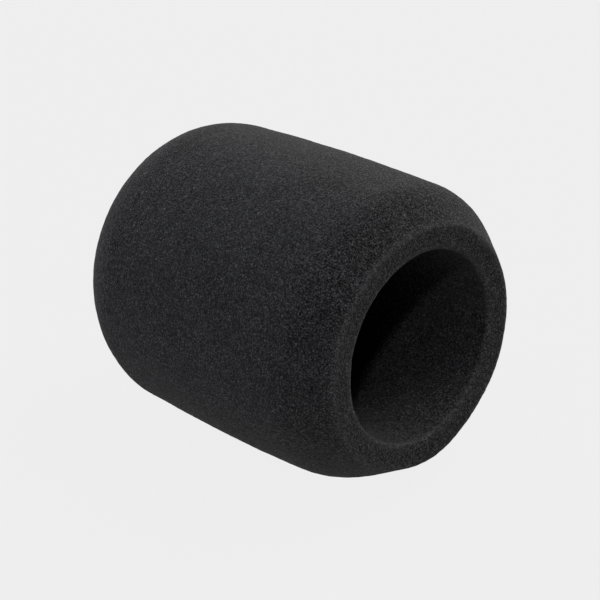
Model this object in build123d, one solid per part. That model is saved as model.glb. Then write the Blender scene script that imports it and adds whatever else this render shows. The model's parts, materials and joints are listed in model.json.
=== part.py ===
from build123d import *
import os

# Slip-on foam windscreen for the head of a large end-address broadcast microphone.
# Three bonded pieces: a turned foam sleeve cored from both ends, a foam plug that closes its
# address end, and the cured adhesive film that holds the plug in its stepped seat.
# Millimetres. The bore lies along Y: the mouth is at y = 0 and faces +Y, where the microphone
# body is, and the closed address end faces -Y. The origin is the centre of the mouth.

# Outer form
overall_length = 104.0
outer_diameter = 90.0           # at the widest section of the slightly barrelled side
widest_from_mouth = 50.0        # how far behind the mouth that section is
side_arc_radius = 700.0         # long arc of the side, which takes about 1 mm off the radius at each end
closed_end_round = 21.0         # radius that turns the side into the closed end's flat face
chamfer_length = 12.2           # axial length of the cone that runs down to the mouth
shoulder_round = 22.0           # radius that softens the side into that cone
mouth_edge_round = 2.0          # radius between the cone and the mouth's flat ring

# Bore for the microphone head
bore_diameter = 56.5
mouth_wall = 7.4                # width of the wall at the mouth, from the bore to the cone's small end
closed_end_thickness = 26.0     # foam between the bottom of the bore and the closed end: the plug

# Plug and its glued seat
seat_step = 1.5                 # how much wider than the bore the plug is, all round
bond_thickness = 0.3            # adhesive film soaked into both faces of the joint
bond_recess = 0.4               # how far the film stops short of the closed end's surface

outer_radius = outer_diameter / 2
bore_radius = bore_diameter / 2
bore_depth = overall_length - closed_end_thickness
seat_depth = bore_depth - bond_thickness
plug_radius = bore_radius + seat_step
seat_radius = plug_radius + bond_thickness


def side_radius(y):
    """Radius of the barrelled side at a height y on the bore's axis."""
    from_widest = y + widest_from_mouth
    return outer_radius - side_arc_radius + (side_arc_radius**2 - from_widest**2) ** 0.5


def round_corner(face, corner, radius):
    """The profile with its vertex nearest to a corner point rounded."""
    vertex = face.vertices().sort_by_distance(corner)[0]
    return fillet(vertex, radius)


def outer_form():
    """The whole outer shape with no hollow in it, as it leaves the lathe."""
    mouth_corner = (bore_radius + mouth_wall, 0)
    shoulder_corner = (side_radius(-chamfer_length), -chamfer_length)
    closed_corner = (side_radius(-overall_length), -overall_length)
    outline = Curve() + [
        Line((0, 0), mouth_corner),
        Line(mouth_corner, shoulder_corner),
        ThreePointArc(shoulder_corner, (outer_radius, -widest_from_mouth), closed_corner),
        Line(closed_corner, (0, -overall_length)),
        Line((0, -overall_length), (0, 0)),
    ]
    face = make_face(outline)
    face = round_corner(face, closed_corner, closed_end_round)
    face = round_corner(face, shoulder_corner, shoulder_round)
    face = round_corner(face, mouth_corner, mouth_edge_round)
    return revolve(face, Axis.Y)


def core(radius, depth_from, depth_to):
    """A round core along the bore's axis, between two depths behind the mouth."""
    cylinder = Cylinder(radius, depth_to - depth_from, align=(Align.CENTER, Align.CENTER, Align.MIN))
    return Pos(0, -depth_from, 0) * Rot(90, 0, 0) * cylinder


def seat_core():
    """What the wider core drill takes out from the closed end: the room for plug and adhesive."""
    return core(seat_radius, seat_depth, overall_length)


def plug_core():
    """The plug's own core, the adhesive's thickness smaller than its seat all round."""
    return core(plug_radius, bore_depth, overall_length)


def foam_sleeve():
    """Turned sleeve with the bore from the mouth and the plug's seat from the closed end."""
    return outer_form() - core(bore_radius, 0, seat_depth) - seat_core()


def end_plug():
    """Foam plug, turned together with the sleeve so that its face carries on the sleeve's."""
    return outer_form() & plug_core()


def plug_bond_film():
    """Adhesive round the plug and on the ring of its inner face that meets the seat's step."""
    room = seat_core() - plug_core() - core(bore_radius, seat_depth, bore_depth)
    below_surface = Pos(0, bond_recess, 0) * outer_form()
    return room & below_surface


pieces = {
    "foam_sleeve": foam_sleeve(),
    "end_plug": end_plug(),
    "plug_bond_film": plug_bond_film(),
}

os.makedirs("parts", exist_ok=True)
for name, piece in pieces.items():
    export_step(piece, f"parts/{name}.step")
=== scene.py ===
# A slip-on foam windscreen for the head of a broadcast microphone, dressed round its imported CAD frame.
# It lies on its side: the bore runs along Y, the open mouth faces +Y and the closed end faces -Y.
import json
import math

import bpy
import bmesh
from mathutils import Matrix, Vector


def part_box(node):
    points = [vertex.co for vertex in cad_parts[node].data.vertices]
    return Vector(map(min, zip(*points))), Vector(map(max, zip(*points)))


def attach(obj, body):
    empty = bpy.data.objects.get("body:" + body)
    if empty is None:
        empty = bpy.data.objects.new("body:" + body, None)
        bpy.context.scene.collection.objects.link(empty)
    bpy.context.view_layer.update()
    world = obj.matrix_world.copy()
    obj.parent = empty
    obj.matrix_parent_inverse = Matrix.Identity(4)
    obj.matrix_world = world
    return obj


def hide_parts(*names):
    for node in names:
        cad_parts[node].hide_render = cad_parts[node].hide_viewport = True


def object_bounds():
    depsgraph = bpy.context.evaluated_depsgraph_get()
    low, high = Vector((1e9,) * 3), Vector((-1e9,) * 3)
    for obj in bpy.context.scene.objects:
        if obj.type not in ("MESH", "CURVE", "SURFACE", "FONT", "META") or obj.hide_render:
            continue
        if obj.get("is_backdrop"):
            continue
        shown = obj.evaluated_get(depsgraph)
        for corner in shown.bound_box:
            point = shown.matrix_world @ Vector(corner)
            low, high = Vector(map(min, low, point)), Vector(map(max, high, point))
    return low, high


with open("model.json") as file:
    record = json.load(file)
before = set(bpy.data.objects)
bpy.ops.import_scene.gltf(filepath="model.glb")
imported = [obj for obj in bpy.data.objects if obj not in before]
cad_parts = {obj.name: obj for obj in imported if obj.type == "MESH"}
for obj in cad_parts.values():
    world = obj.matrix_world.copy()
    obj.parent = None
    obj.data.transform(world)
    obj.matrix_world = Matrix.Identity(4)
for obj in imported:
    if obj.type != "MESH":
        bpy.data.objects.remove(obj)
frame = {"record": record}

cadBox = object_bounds()
mm = 0.001


def hexToLinear(hexColour):
    # sRGB hex to the linear colour that Blender's sockets take
    values = [int(hexColour[i:i + 2], 16) / 255 for i in (1, 3, 5)]
    linear = [v / 12.92 if v <= 0.04045 else ((v + 0.055) / 1.055) ** 2.4 for v in values]
    return (*linear, 1.0)


def directionFrom(azimuth, elevation):
    # unit vector towards a place round the object: azimuth 0 is on the -Y side, 90 on the +X side
    a = math.radians(azimuth)
    e = math.radians(elevation)
    return Vector((math.sin(a) * math.cos(e), -math.cos(a) * math.cos(e), math.sin(e)))


# camera
viewCamera = {
    "azimuth": 135.66,      # degrees: halfway between the +X side and the open mouth
    "elevation": 23.02,
    "distance": 530.0,      # mm from the aim point
    "aim": (-0.8, -49.7, -0.7),     # mm, close to the middle of the windscreen
    "lens": 108.0,          # mm on a 36 mm sensor
}


def makeCamera(settings):
    data = bpy.data.cameras.new("viewCamera")
    data.lens = settings["lens"]
    data.sensor_width = 36.0
    data.clip_start = 0.01
    camera = bpy.data.objects.new("viewCamera", data)
    back = directionFrom(settings["azimuth"], settings["elevation"])
    camera.location = Vector(settings["aim"]) * mm + back * settings["distance"] * mm
    camera.rotation_mode = "QUATERNION"
    camera.rotation_quaternion = (-back).to_track_quat("-Z", "Y")
    bpy.context.scene.collection.objects.link(camera)
    bpy.context.scene.camera = camera


makeCamera(viewCamera)
print("camera placed")


# the turned outline, as (depth behind the mouth, radius) in mm
micBore = next(m for m in frame["record"]["mounts"] if m["name"] == "mic_bore")
plugLow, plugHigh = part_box("end_plug")
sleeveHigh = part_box("foam_sleeve")[1]
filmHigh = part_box("plug_bond_film")[1]

cutForm = {
    "outerRadius": sleeveHigh.x / mm,       # at the widest section of the side
    "length": -plugLow.y / mm,
    "widestDepth": 50.0,        # where that section is, behind the mouth
    "sideArc": 700.0,           # radius of the barrelled side
    "endRound": 21.0,           # radius into the closed end's flat
    "chamferLength": 12.2,      # axial length of the cone down to the mouth
    "shoulderRound": 22.0,
    "mouthWall": 7.4,           # width of the ring round the mouth, with its round
    "mouthProud": 0.12,         # how far the ring's outer edge stands ahead of the mouth's plane
    "mouthDish": 0.6,           # how much deeper the ring is at the bore than at its outer edge
    "mouthEdgeRound": 1.1,
    "boreEdgeRound": 0.7,       # foam has no sharper edge than its cells
    "boreRadius": micBore["dims"]["r_mm"],
    "boreDepth": micBore["dims"]["length_mm"],
    "plugRadius": plugHigh.x / mm,
    "seatRadius": filmHigh.x / mm,
    "filmRecess": 0.4,          # how far the adhesive stops short of the closed end's surface
}

# how the blade and the grinding wheel left it: not quite true
handCut = {
    "shoulderTilt": 0.087,      # slope of the shoulder's edge against a true square cut
    "shoulderTiltTowards": 82.0,    # degrees from +X towards +Z: the cone is shortest there
    "tiltReach": 3.0,           # how many chamfer lengths behind the shoulder the tilt fades out
    "endRise": 1.0,             # mm that the closed end sits above the bore's axis
    # where the mouth's outer edge stands out or falls short:
    # (degrees from +X towards +Z, half width in degrees, mm)
    "lipSwells": (
        (-98.0, 24.0, 0.85),
        (-138.0, 24.0, -0.45),
        (-68.0, 22.0, -0.25),
    ),
    "lipReach": 7.0,            # mm behind the mouth over which a swell fades out
    "endSwells": (              # the same round the closed end
        (-42.0, 18.0, 0.22),
        (-12.0, 26.0, -0.28),
        (75.0, 25.0, 0.20),
    ),
    "crispShoulder": (24.0, 85.0, 0.62),    # where the shoulder was left sharper, given in the same way
    "crispReach": 7.0,          # mm on each side of the shoulder
}

sideCentre = (cutForm["widestDepth"], cutForm["outerRadius"] - cutForm["sideArc"])
endCentreDepth = cutForm["length"] - cutForm["endRound"]


def sideRadius(depth, inset=0.0):
    # radius of the barrelled side, or of a line a set distance inside it
    reach = cutForm["sideArc"] - inset
    return sideCentre[1] + math.sqrt(reach ** 2 - (depth - sideCentre[0]) ** 2)


endCentre = (endCentreDepth, sideRadius(endCentreDepth, cutForm["endRound"]))
mouthRadius = cutForm["boreRadius"] + cutForm["mouthWall"]
filmThickness = cutForm["seatRadius"] - cutForm["plugRadius"]
seatDepth = cutForm["boreDepth"] - filmThickness
shoulder = (cutForm["chamferLength"], sideRadius(cutForm["chamferLength"]))


def endAngle(radius):
    # where the closed end's round reaches a radius
    return math.asin((radius - endCentre[1]) / cutForm["endRound"])


def onEndRound(angle):
    depth = endCentre[0] + cutForm["endRound"] * math.cos(angle)
    radius = endCentre[1] + cutForm["endRound"] * math.sin(angle)
    return (depth, radius)


def endArc(start, stop, steps):
    # points along the closed end's round, from just after one angle up to another
    return [onEndRound(start + (stop - start) * i / steps) for i in range(1, steps + 1)]


def roundedCorner(before, corner, after, radius, steps=8):
    # points of the arc that rounds one corner of an outline
    p, c, n = Vector(before), Vector(corner), Vector(after)
    u, v = (p - c).normalized(), (n - c).normalized()
    half = u.angle(v) / 2
    centre = c + (u + v).normalized() * radius / math.sin(half)
    start = c + u * radius / math.tan(half) - centre
    sweep = math.pi - 2 * half
    turn = math.copysign(sweep, u.x * v.y - u.y * v.x)
    points = []
    for i in range(steps + 1):
        a = -turn * i / steps
        x = start.x * math.cos(a) - start.y * math.sin(a)
        y = start.x * math.sin(a) + start.y * math.cos(a)
        points.append((centre.x + x, centre.y + y))
    return points


def outsideOutline():
    # from the bore's bottom out through the mouth and along the outside to the plug's seam
    boreMouth = (cutForm["mouthDish"] - cutForm["mouthProud"], cutForm["boreRadius"])
    mouthCorner = (-cutForm["mouthProud"], mouthRadius)
    step = 10.0     # mm along the side, near enough straight
    sideSlope = (sideCentre[0] - shoulder[0]) / cutForm["sideArc"]
    alongSide = (shoulder[0] + step, shoulder[1] + step * sideSlope)
    points = [(seatDepth, cutForm["boreRadius"])]
    points += roundedCorner(points[0], boreMouth, mouthCorner, cutForm["boreEdgeRound"])
    points += roundedCorner(boreMouth, mouthCorner, shoulder, cutForm["mouthEdgeRound"])
    points += roundedCorner(mouthCorner, shoulder, alongSide, cutForm["shoulderRound"])
    firstDepth = points[-1][0]
    towardsEnd = Vector(endCentre) - Vector(sideCentre)
    lastDepth = endCentre[0] + towardsEnd.normalized().x * cutForm["endRound"]
    sideSteps = 24
    for i in range(1, sideSteps + 1):
        depth = firstDepth + (lastDepth - firstDepth) * i / sideSteps
        points.append((depth, sideRadius(depth)))
    startAngle = math.atan2(towardsEnd.y, towardsEnd.x)
    return points + endArc(startAngle, endAngle(cutForm["seatRadius"]), 20)


# turning an outline into a mesh of even triangles
meshing = {
    "edgeWidth": 0.9,       # mm: how far from a cut edge the painted highlight reaches
    "cutSpacing": 0.78,     # mm between points on a surface that shows
    "deepFrom": 30.0,       # mm behind the mouth, from where the bore is meshed more coarsely
    "deepSpacing": 1.0,
    "hiddenSpacing": 3.0,   # mm on the glued faces inside
    "filmSpacing": 1.5,
    "fewestPoints": 12,     # in any ring
}


def evenly(points, spacing):
    # the same line, with points at even steps no longer than the spacing
    lengths = [0.0]
    for p, q in zip(points, points[1:]):
        lengths.append(lengths[-1] + math.dist(p, q))
    steps = max(1, math.ceil(lengths[-1] / spacing))
    result = []
    k = 0
    for i in range(steps + 1):
        target = lengths[-1] * i / steps
        while k < len(points) - 2 and lengths[k + 1] < target:
            k += 1
        span = lengths[k + 1] - lengths[k]
        t = (target - lengths[k]) / span if span else 0.0
        (d0, r0), (d1, r1) = points[k], points[k + 1]
        result.append((d0 + (d1 - d0) * t, r0 + (r1 - r0) * t))
    return result


def swell(angle, place):
    # a soft bump of the outline's radius round one angle
    centre, halfWidth, height = place
    away = (math.degrees(angle) - centre + 180) % 360 - 180
    return height * math.cos(math.pi / 2 * away / halfWidth) ** 2 if abs(away) < halfWidth else 0.0


def placed(depth, radius, angle):
    # a point of the turned form in metres, with the hand cut's faults
    outwards = min(1.0, max(0.0, (radius - cutForm["seatRadius"]) / (mouthRadius - cutForm["seatRadius"])))
    lipShare = max(0.0, 1 - depth / handCut["lipReach"])
    endShare = max(0.0, 1 - abs(depth - endCentreDepth) / cutForm["endRound"])
    radius += outwards * lipShare * sum(swell(angle, place) for place in handCut["lipSwells"])
    radius += outwards * endShare * sum(swell(angle, place) for place in handCut["endSwells"])
    crispShare = max(0.0, 1 - abs(depth - shoulder[0]) / handCut["crispReach"]) ** 2
    radius += outwards * crispShare * swell(angle, handCut["crispShoulder"])
    rise = (radius - mouthRadius) / (shoulder[1] - mouthRadius)
    fade = 1 - (depth - shoulder[0]) / (handCut["tiltReach"] * shoulder[0])
    share = min(1.0, max(0.0, rise)) * min(1.0, max(0.0, fade))
    tiltSide = math.cos(angle - math.radians(handCut["shoulderTiltTowards"]))
    depth -= share * handCut["shoulderTilt"] * radius * tiltSide
    lift = handCut["endRise"] * (depth / cutForm["length"]) ** 2
    return Vector((radius * math.cos(angle), -depth, radius * math.sin(angle) + lift)) * mm


def zipRings(first, second, faces):
    # a band of triangles between two rings whose point counts may differ;
    # a ring is (its first point's number, how many points, the first one's angle)
    startA, countA, offsetA = first
    startB, countB, offsetB = second
    turnsA = countA if countA > 1 else 0
    turnsB = countB if countB > 1 else 0
    i = j = 0
    while i < turnsA or j < turnsB:
        nextA = offsetA + (i + 1) * math.tau / countA if i < turnsA else math.inf
        nextB = offsetB + (j + 1) * math.tau / countB if j < turnsB else math.inf
        a, b = startA + i % countA, startB + j % countB
        if nextA <= nextB:
            i += 1
            faces.append((a, startA + i % countA, b))
        else:
            j += 1
            faces.append((a, startB + j % countB, b))


# where a highlight is painted along the cut edges, as (depth, radius): the bore's edge and the mouth's
cutEdges = ((0.8, cutForm["boreRadius"] + 0.3), (0.2, mouthRadius - 0.1))


def turnedPiece(name, stretches):
    # stretches are (outline points, point spacing, whether the surface shows), end to end;
    # an outline that returns to where it began is a ring with no point on the axis
    goldenShare = 0.618034      # turns each ring a little, so the points never line up
    verts, faces, rings = [], [], []
    shown, edgeHighlightWeight, ringShadeWeight = [], [], []
    for points, spacing, shows in stretches:
        rows = evenly(points, spacing * math.sin(math.radians(60)))
        for depth, radius in rows[1 if rings else 0:]:
            evenCount = max(meshing["fewestPoints"], round(math.tau * radius / spacing))
            count = evenCount if radius > 0.01 else 1       # one point on the axis
            offset = math.tau / count * (len(rings) * goldenShare % 1.0)
            away = min(math.dist((depth, radius), edge) for edge in cutEdges)
            rings.append((len(verts), count, offset))
            for i in range(count):
                verts.append(placed(depth, radius, offset + math.tau * i / count))
                shown.append(shows)
                # painted highlight: how strongly each point is paled along the cut edges
                edgeHighlightWeight.append(math.exp(-(away / meshing["edgeWidth"]) ** 2))
                onRing = depth < cutForm["mouthDish"] and radius < mouthRadius - 0.5    # short of its round
                # painted shade: marks the mouth's flat ring, which the material darkens
                ringShadeWeight.append(1.0 if onRing else 0.0)
    if math.dist(stretches[0][0][0], stretches[-1][0][-1]) < 0.001:
        start = rings.pop()[0]      # the last ring repeats the first
        del verts[start:], shown[start:], edgeHighlightWeight[start:], ringShadeWeight[start:]
        rings.append(rings[0])
    for first, second in zip(rings, rings[1:]):
        zipRings(first, second, faces)
    mesh = bpy.data.meshes.new(name)
    mesh.from_pydata(verts, [], faces)
    shaped = bmesh.new()
    shaped.from_mesh(mesh)
    bmesh.ops.recalc_face_normals(shaped, faces=shaped.faces)
    shaped.to_mesh(mesh)
    shaped.free()
    mesh.shade_smooth()
    # the painted highlight along the cut edges goes to the material as a point attribute
    mesh.attributes.new("edgeHighlight", "FLOAT", "POINT").data.foreach_set("value", edgeHighlightWeight)
    # the painted shade on the mouth's flat ring goes to the material as a point attribute
    mesh.attributes.new("ringShade", "FLOAT", "POINT").data.foreach_set("value", ringShadeWeight)
    piece = bpy.data.objects.new(name, mesh)
    bpy.context.scene.collection.objects.link(piece)
    piece.vertex_groups.new(name="cutFaces").add([i for i, s in enumerate(shown) if s], 1.0, "REPLACE")
    print(name, "turned,", len(mesh.polygons), "faces")
    return piece


# pores and unevenness in the meshes themselves
openCells = {
    "cellSize": 1.4,        # mm: wider than the real cells, as the mesh's points are 0.8 mm apart
    "cellDepth": 0.14,      # mm
    "waveSize": 16.0,       # mm across the soft hollows that grinding leaves
    "waveDepth": 0.4,       # mm
}


def roughen(piece, settings):
    layers = {
        "grindingWaves": ("CLOUDS", settings["waveSize"], settings["waveDepth"]),
        "openCells": ("VORONOI", settings["cellSize"], settings["cellDepth"]),
    }
    for label, (kind, size, depth) in layers.items():
        texture = bpy.data.textures.new(piece.name + "." + label, kind)
        texture.noise_scale = size * mm
        push = piece.modifiers.new(label, "DISPLACE")
        push.texture = texture
        push.texture_coords = "LOCAL"
        push.vertex_group = "cutFaces"
        push.mid_level = 0.5
        push.strength = depth * mm


# materials
def addNode(tree, kind, inputs, **settings):
    node = tree.nodes.new(kind)
    for name, value in settings.items():
        setattr(node, name, value)
    for name, value in inputs.items():
        if isinstance(value, bpy.types.NodeSocket):
            tree.links.new(value, node.inputs[name])
        else:
            node.inputs[name].default_value = value
    return node


def newMaterial(name):
    material = bpy.data.materials.new(name)
    material.use_nodes = True
    material.node_tree.nodes.clear()
    return material, material.node_tree


foamFinish = {
    "strutColour": "#3f3f3f",   # the tip of a strut that faces the light
    "pitColour": "#010101",     # down inside an open cell
    # each share below is how much its pattern changes the tone, from 0, the pit's, to 1, the strut's
    "baseShare": 0.25,
    "cellSize": 0.6,            # mm: the real 0.4 to 0.5 is too fine to show, so drawn a little coarser
    "cellShare": 0.65,
    "fuzzSize": 0.38,           # mm: broken strut ends
    "fuzzShare": 0.36,
    "clumpSize": 1.1,           # mm: cells that the grinding tore wider
    "clumpShare": 0.1,
    "glintSpacing": 2.4,        # mm between painted glints, where a few skins of cell wall catch the light
    "glintShare": 1.0,
    "patchSize": 14.0,          # mm: slow change of density through the block
    "patchShare": 0.03,
    "edgeHighlightShare": 0.21,          # painted highlight along a cut edge, where loose struts catch the light
    "ringShadeShare": -0.04,        # painted shade: the mouth's flat ring is coloured a little darker than the foam round it
    "sparseness": 1.3,          # above 1, fewer struts catch the light and more of the cells stay dark
    "relief": 0.2,              # mm between strut tips and pits
    "roughness": 0.95,
    "ior": 1.5,
    "gloss": 0.067,             # the pores swallow most of what bare polyurethane would reflect
    "sheen": 0.02,              # strut ends catch the light where the surface is seen edge on
    "sheenSpread": 0.5,
}


def turnedPolyurethaneFoam(settings):
    # Open-cell polyurethane foam, ground to shape as it turned: the cut cells give a dead matt,
    # pin-pricked black that only brightens where it is seen edge on.
    material, tree = newMaterial("turnedPolyurethaneFoam")
    place = addNode(tree, "ShaderNodeTexCoord", {}).outputs["Object"]

    def unevenness(size, detail=1.0, low=0.25):
        # soft noise from -1 to 1
        noise = addNode(tree, "ShaderNodeTexNoise", {
            "Vector": place, "Scale": 1 / (size * mm), "Detail": detail}).outputs["Fac"]
        return addNode(tree, "ShaderNodeMapRange", {
            "Value": noise, "From Min": low, "From Max": 1 - low, "To Min": -1.0, "To Max": 1.0}).outputs[0]

    def dots(spacing, outer, inner):
        # a round dot in each cell, which fades out between its two radii, each with its own brightness
        cells = addNode(tree, "ShaderNodeTexVoronoi", {"Vector": place, "Scale": 1 / (spacing * mm)})
        chance = addNode(tree, "ShaderNodeSeparateColor", {"Color": cells.outputs["Color"]}).outputs["Red"]
        return addNode(tree, "ShaderNodeMapRange", {
            "Value": cells.outputs["Distance"], "From Min": outer, "From Max": inner,
            "To Min": 0.0, "To Max": chance}).outputs[0]

    def layered(total, layers):
        # patterns added up, each by its share of the tone
        for pattern, share in layers:
            total = addNode(tree, "ShaderNodeMath", {
                0: pattern, 1: settings[share], 2: total}, operation="MULTIPLY_ADD").outputs[0]
        return total

    height = layered(settings["baseShare"], (
        (dots(settings["cellSize"], 0.65, 0.1), "cellShare"),
        (unevenness(settings["fuzzSize"]), "fuzzShare"),
        (unevenness(settings["clumpSize"]), "clumpShare"),
    ))
    level = layered(height, (
        (unevenness(settings["patchSize"], detail=2.0, low=0.3), "patchShare"),
        # painted glints
        (dots(settings["glintSpacing"], 0.16, 0.06), "glintShare"),
        # painted highlight along the cut edges
        (addNode(tree, "ShaderNodeAttribute", {}, attribute_name="edgeHighlight").outputs["Fac"], "edgeHighlightShare"),
        # painted shade on the mouth's flat ring
        (addNode(tree, "ShaderNodeAttribute", {}, attribute_name="ringShade").outputs["Fac"], "ringShadeShare"),
    ))
    aboveBlack = addNode(tree, "ShaderNodeMath", {0: level, 1: 0.0}, operation="MAXIMUM").outputs[0]
    tone = addNode(tree, "ShaderNodeMath", {
        0: aboveBlack, 1: settings["sparseness"]}, operation="POWER").outputs[0]
    colour = addNode(tree, "ShaderNodeMix", {       # 0 is the share, 6 and 7 the two colours
        0: tone, 6: hexToLinear(settings["pitColour"]), 7: hexToLinear(settings["strutColour"])},
        data_type="RGBA").outputs[2]
    relief = addNode(tree, "ShaderNodeBump", {
        "Height": height, "Distance": settings["relief"] * mm, "Strength": 1.0}).outputs["Normal"]
    foam = addNode(tree, "ShaderNodeBsdfPrincipled", {
        "Base Color": colour, "Roughness": settings["roughness"], "IOR": settings["ior"],
        "Specular IOR Level": settings["gloss"], "Sheen Weight": settings["sheen"],
        "Sheen Roughness": settings["sheenSpread"], "Normal": relief})
    addNode(tree, "ShaderNodeOutputMaterial", {"Surface": foam.outputs[0]})
    return material


bondFinish = {
    "colour": "#1d1a17",
    "beadSize": 2.2,        # mm between the thick and thin places of the brushed coat
    "relief": 0.08,         # mm
    "roughness": 0.42,
    "ior": 1.52,
}


def curedContactAdhesive(settings):
    # Black neoprene contact adhesive, brushed on and cured: a thin rubbery skin
    # that gives its seam a dull gloss.
    material, tree = newMaterial("curedContactAdhesive")
    place = addNode(tree, "ShaderNodeTexCoord", {}).outputs["Object"]
    beads = addNode(tree, "ShaderNodeTexNoise", {
        "Vector": place, "Scale": 1 / (settings["beadSize"] * mm), "Detail": 3.0}).outputs["Fac"]
    roughness = addNode(tree, "ShaderNodeMapRange", {
        "Value": beads, "From Min": 0.3, "From Max": 0.7,
        "To Min": settings["roughness"] - 0.1, "To Max": settings["roughness"] + 0.15}).outputs[0]
    relief = addNode(tree, "ShaderNodeBump", {
        "Height": beads, "Distance": settings["relief"] * mm, "Strength": 1.0}).outputs["Normal"]
    rubber = addNode(tree, "ShaderNodeBsdfPrincipled", {
        "Base Color": hexToLinear(settings["colour"]), "Roughness": roughness, "IOR": settings["ior"],
        "Normal": relief})
    addNode(tree, "ShaderNodeOutputMaterial", {"Surface": rubber.outputs[0]})
    return material


foam = turnedPolyurethaneFoam(foamFinish)
adhesive = curedContactAdhesive(bondFinish)
print("materials mixed")


# the three pieces
outside = outsideOutline()
boreBottom, seatEdge = outside[0], outside[-1]
seatCorner = (seatDepth, cutForm["seatRadius"])
deepFrom = (meshing["deepFrom"], cutForm["boreRadius"])
sleeve = turnedPiece("foamSleeve", [
    ([boreBottom, deepFrom], meshing["deepSpacing"], True),
    ([deepFrom] + outside[1:], meshing["cutSpacing"], True),
    ([seatEdge, seatCorner], meshing["hiddenSpacing"], False),
    ([seatCorner, boreBottom], meshing["hiddenSpacing"], False),
])

plugAngle = endAngle(cutForm["plugRadius"])
plugEdge = onEndRound(plugAngle)
closedFace = [plugEdge] + endArc(plugAngle, 0.0, 8) + [(cutForm["length"], 0.0)]
plugMiddle, plugStep, plugCorner = (
    (cutForm["boreDepth"], radius) for radius in (0.0, cutForm["boreRadius"], cutForm["plugRadius"]))
plug = turnedPiece("endPlug", [
    ([plugMiddle, plugStep], meshing["deepSpacing"], True),     # the bore's bottom
    ([plugStep, plugCorner], meshing["hiddenSpacing"], False),
    ([plugCorner, plugEdge], meshing["hiddenSpacing"], False),
    (closedFace, meshing["cutSpacing"], True),
])

filmCorners = [
    boreBottom,
    seatCorner,
    (seatEdge[0] - cutForm["filmRecess"], cutForm["seatRadius"]),
    (plugEdge[0] - cutForm["filmRecess"], cutForm["plugRadius"]),
    plugCorner,
    plugStep,
    boreBottom,
]
film = turnedPiece("plugBondFilm", [
    ([p, q], meshing["filmSpacing"], False) for p, q in zip(filmCorners, filmCorners[1:])
])

for piece, node, slot, finish in (
    (sleeve, "foam_sleeve", "sleeve_foam", foam),
    (plug, "end_plug", "plug_foam", foam),
    (film, "plug_bond_film", "cured_adhesive", adhesive),
):
    piece.data.materials.append(finish)
    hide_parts(node)
    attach(piece, "root")
for piece in (sleeve, plug):
    roughen(piece, openCells)
print("pieces placed")


# floor, surroundings and light
studio = {
    "tone": "#eeeeee",          # floor and surroundings alike
    "floorHalfWidth": 8.0,      # m
    "floorOwnLight": 0.983,     # the floor is an opal sheet lit from below, so shadows on it all but vanish
    "floorPaint": 0.01,         # how much of its tone it has by the lamps' light
    "surroundLight": 0.02,      # what the dark room itself adds; the camera sees it as pale as the floor
    "gapUnderFoam": 0.0002,     # m
}

lamps = {
    # name: (azimuth, elevation, distance in m, size in m, watts, colour)
    "keyLamp": (132.5, 37.8, 2.4, 0.14, 21.5, "#ffffff"),   # small, so the mouth's rim casts a firm shadow
    "highFrontSoftbox": (135.0, 60.0, 2.0, 1.0, 10.8, "#e0e0ff"),
    "lowLeftSoftbox": (60.0, 6.0, 2.0, 0.8, 21.0, "#e8e8ff"),
    "highRightSoftbox": (225.0, 60.0, 2.0, 1.0, 39.8, "#ffffff"),
    "backLeftSoftbox": (0.0, 20.0, 2.4, 1.2, 49.7, "#ffffff"),
    "backRightSoftbox": (270.0, 20.0, 2.4, 1.2, 45.2, "#ffffff"),
    "backSoftbox": (315.0, 25.0, 2.4, 1.2, 18.6, "#ffffff"),
}


def makeFloor(settings, lowest):
    # Opal acrylic sheet, cast matt and lit from below: an even, pale ground without gloss.
    half = settings["floorHalfWidth"]
    sheet = bmesh.new()
    bmesh.ops.create_grid(sheet, x_segments=8, y_segments=8, size=half)
    mesh = bpy.data.meshes.new("studioFloor")
    sheet.to_mesh(mesh)
    sheet.free()
    floor = bpy.data.objects.new("studioFloor", mesh)
    floor.location = (0.0, 0.0, lowest - settings["gapUnderFoam"])
    bpy.context.scene.collection.objects.link(floor)
    material, tree = newMaterial("litOpalSheet")
    tone = hexToLinear(settings["tone"])
    sheetShader = addNode(tree, "ShaderNodeBsdfPrincipled", {
        "Base Color": [c * settings["floorPaint"] for c in tone[:3]] + [1.0], "Roughness": 0.9,
        "Specular IOR Level": 0.0,
        "Emission Color": tone, "Emission Strength": settings["floorOwnLight"]})
    addNode(tree, "ShaderNodeOutputMaterial", {"Surface": sheetShader.outputs[0]})
    mesh.materials.append(material)
    floor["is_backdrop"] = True


def makeSurroundings(settings):
    # a dark room for the foam, which the camera sees at the full tone of the floor
    world = bpy.data.worlds.new("paleStudio")
    world.use_nodes = True
    tree = world.node_tree
    tree.nodes.clear()
    seen = addNode(tree, "ShaderNodeLightPath", {}).outputs["Is Camera Ray"]
    strength = addNode(tree, "ShaderNodeMapRange", {
        "Value": seen, "To Min": settings["surroundLight"], "To Max": 1.0}).outputs[0]
    air = addNode(tree, "ShaderNodeBackground", {
        "Color": hexToLinear(settings["tone"]), "Strength": strength})
    addNode(tree, "ShaderNodeOutputWorld", {"Surface": air.outputs[0]})
    bpy.context.scene.world = world


def makeLamps(settings):
    middle = (Vector(cadBox[0]) + Vector(cadBox[1])) / 2
    for name, (azimuth, elevation, distance, size, watts, colour) in settings.items():
        data = bpy.data.lights.new(name, "AREA")
        data.shape = "SQUARE"
        data.size = size
        data.energy = watts
        data.color = hexToLinear(colour)[:3]
        lamp = bpy.data.objects.new(name, data)
        towards = directionFrom(azimuth, elevation)
        lamp.location = middle + towards * distance
        lamp.rotation_mode = "QUATERNION"
        lamp.rotation_quaternion = (-towards).to_track_quat("-Z", "Y")
        lamp.visible_camera = False
        bpy.context.scene.collection.objects.link(lamp)


makeFloor(studio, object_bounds()[0][2])
makeSurroundings(studio)
makeLamps(lamps)
bpy.context.scene.view_settings.view_transform = "Standard"
print("studio lit")
